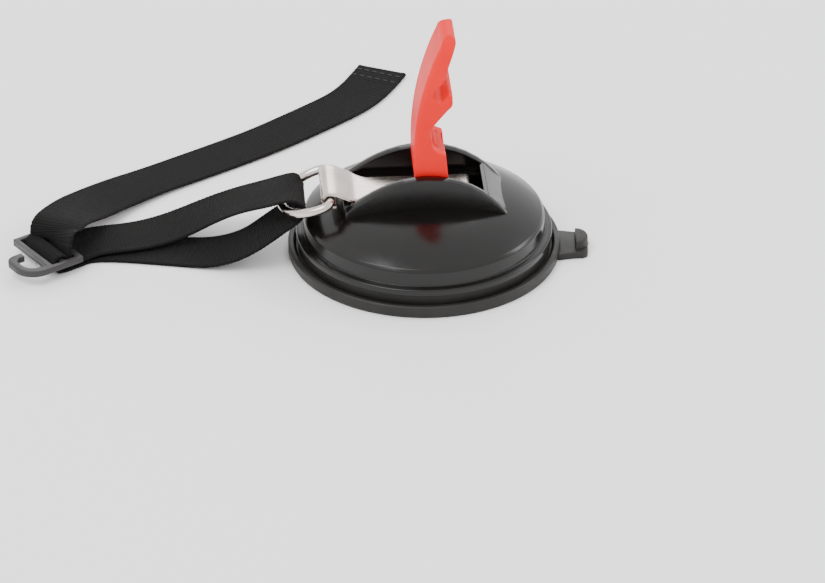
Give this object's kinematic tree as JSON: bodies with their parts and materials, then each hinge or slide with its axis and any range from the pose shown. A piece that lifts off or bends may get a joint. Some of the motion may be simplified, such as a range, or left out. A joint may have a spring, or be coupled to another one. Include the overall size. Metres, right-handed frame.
{
  "type": "suction cup anchor",
  "caption": "Lever-locked suction cup anchor: rubber pad, domed cap, over-centre lever, clipped D-ring and a webbing strap with a flat hook buckle.",
  "frame": {"origin": "centre of the suction face, in the plane the pad rests on", "axes": "+Z out of the suction face along the stud; +X along the cap's channel from the D-ring to the pull tab; +Y across the channel"},
  "size_m": [0.2553, 0.231, 0.1094],
  "materials": {
    "pad_rubber": "satin",
    "cap_plastic": "gloss",
    "lever_plastic": "satin",
    "stainless": "brushed",
    "steel": "plain",
    "buckle_plastic": "satin",
    "bush_plastic": "satin",
    "webbing": "ribbed weave",
    "thread": "twisted thread"
  },
  "bodies": {
    "base": {"suction_pad": "pad_rubber", "dome_cap": "cap_plastic", "stud_guide_bush": "bush_plastic", "spring_washer": "steel", "return_spring": "steel", "ring_bracket": "stainless", "webbing_strap": "webbing", "hem_stitching": "thread"},
    "stud": {"pull_stud": "steel", "pad_insert_plate": "steel"},
    "lever": {"lever": "lever_plastic", "lever_pin": "steel"},
    "ring": {"d_ring": "stainless"},
    "buckle": {"hook_buckle": "buckle_plastic"}
  },
  "joints": [
    {"name": "stud_lift", "type": "slide", "parent": "base", "child": "stud", "axis": [0, 0, 1], "range_m": [0, 0.0026], "stiffness_N_per_m": 20, "springref_m": 0.0245, "deforming": ["suction_pad", "return_spring"]},
    {"name": "lever_swing", "type": "hinge", "parent": "stud", "child": "lever", "pos_m": [0, 0, 0.0401], "axis": [0, 1, 0], "range_deg": [0, 95.5]},
    {"name": "ring_swing", "type": "hinge", "parent": "base", "child": "ring", "pos_m": [-0.0418, 0, 0.033], "axis": [0, 1, 0], "range_deg": [-15, 90], "deforming": ["webbing_strap"]},
    {"name": "buckle_tilt", "type": "hinge", "parent": "base", "child": "buckle", "pos_m": [-0.1661, -0.00157, 0.0061], "axis": [-0.5446, 0.8387, 0], "range_deg": [0, 30], "deforming": ["webbing_strap"]}
  ],
  "couplings": [
    {"joint": "stud_lift", "follows": "lever_swing", "m_per_rad": 0.0015}
  ]
}
